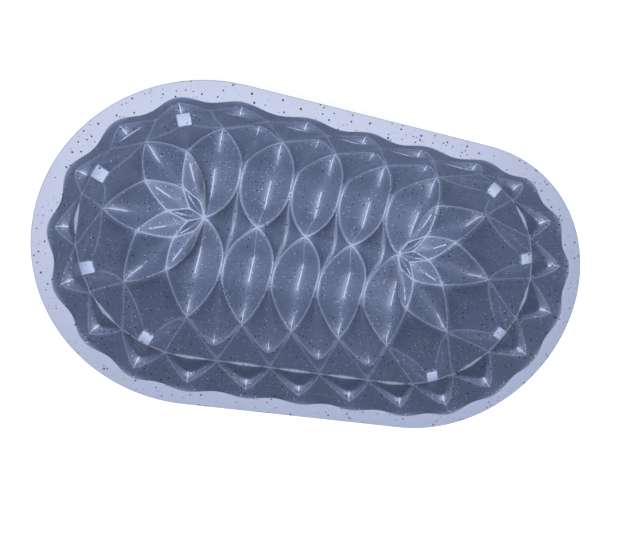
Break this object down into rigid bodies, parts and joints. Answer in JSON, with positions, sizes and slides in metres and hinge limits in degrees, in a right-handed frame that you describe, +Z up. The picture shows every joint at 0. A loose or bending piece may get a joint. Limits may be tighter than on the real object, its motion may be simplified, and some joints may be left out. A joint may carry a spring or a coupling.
{
  "type": "oval cake pan",
  "caption": "Cast oval cake pan with a flat scalloped rim and a deep petal-faceted cavity with a flower at each end.",
  "frame": {"origin": "centre of the footprint on the table, under the middle of the pan", "axes": "+X along the long axis, +Y across, +Z up out of the cavity"},
  "size_m": [0.298, 0.17, 0.085],
  "materials": {
    "speckled_lining": "satin slate blue coating with dark and pale flecks",
    "cast_aluminium": "as cast",
    "outer_coat": "satin slate blue coating"
  },
  "bodies": {
    "root": {"nonstick_lining": "speckled_lining", "cast_pan": "cast_aluminium", "outer_coat": "outer_coat"}
  },
  "joints": []
}
